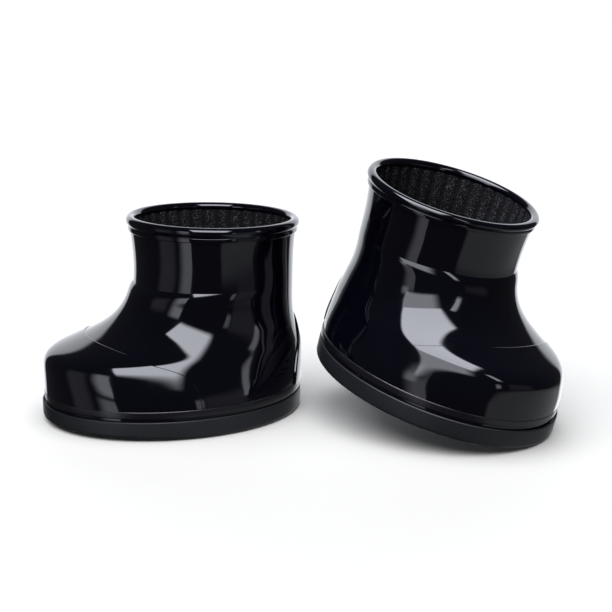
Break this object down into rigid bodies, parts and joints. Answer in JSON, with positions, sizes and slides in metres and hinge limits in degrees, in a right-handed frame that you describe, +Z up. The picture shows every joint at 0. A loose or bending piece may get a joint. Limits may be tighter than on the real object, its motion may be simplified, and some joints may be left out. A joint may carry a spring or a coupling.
{
  "type": "pair of glossy toy ankle boots",
  "caption": "Pair of short, wide pull-on ankle boots with a glossy dark upper, rolled collar, toe cap, ribbed knit lining and a thick flat sole, sized for a plush toy.",
  "frame": {"origin": "on the floor, below the middle of the pair's outline", "axes": "+X along the pair from the standing boot to the tipped boot, +Y to the back of the pair, +Z up"},
  "size_m": [0.2041, 0.1099, 0.0987],
  "materials": {
    "gloss_upper": "high gloss moulded PVC, near black with a slight blue cast",
    "foxing": "semi-gloss dark grey rubber",
    "outsole": "matte charcoal rubber, finely grained",
    "midsole_foam": "dark foam",
    "insole_board": "fibre board",
    "insole_fabric": "black knit over foam",
    "knit_lining": "black ribbed knit with lighter flecks on the ribs"
  },
  "bodies": {
    "standing_boot": {"standing_outsole": "outsole", "standing_foxing_band": "foxing", "standing_midsole": "midsole_foam", "standing_insole_board": "insole_board", "standing_insole": "insole_fabric", "standing_toe_cap": "gloss_upper", "standing_vamp": "gloss_upper", "standing_shaft": "gloss_upper", "standing_collar_bead": "gloss_upper", "standing_heel_tab": "gloss_upper", "standing_foot_lining": "knit_lining", "standing_leg_lining": "knit_lining"},
    "tipped_boot": {"tipped_outsole": "outsole", "tipped_foxing_band": "foxing", "tipped_midsole": "midsole_foam", "tipped_insole_board": "insole_board", "tipped_insole": "insole_fabric", "tipped_toe_cap": "gloss_upper", "tipped_vamp": "gloss_upper", "tipped_shaft": "gloss_upper", "tipped_collar_bead": "gloss_upper", "tipped_heel_tab": "gloss_upper", "tipped_foot_lining": "knit_lining", "tipped_leg_lining": "knit_lining"}
  },
  "joints": [
    {"name": "boot_tilt", "type": "hinge", "parent": "standing_boot", "child": "tipped_boot", "pos_m": [0.09452, -0.03153, 0.0016], "axis": [0.4092, 0.9124, 0], "range_deg": [-14.12, 15]}
  ]
}
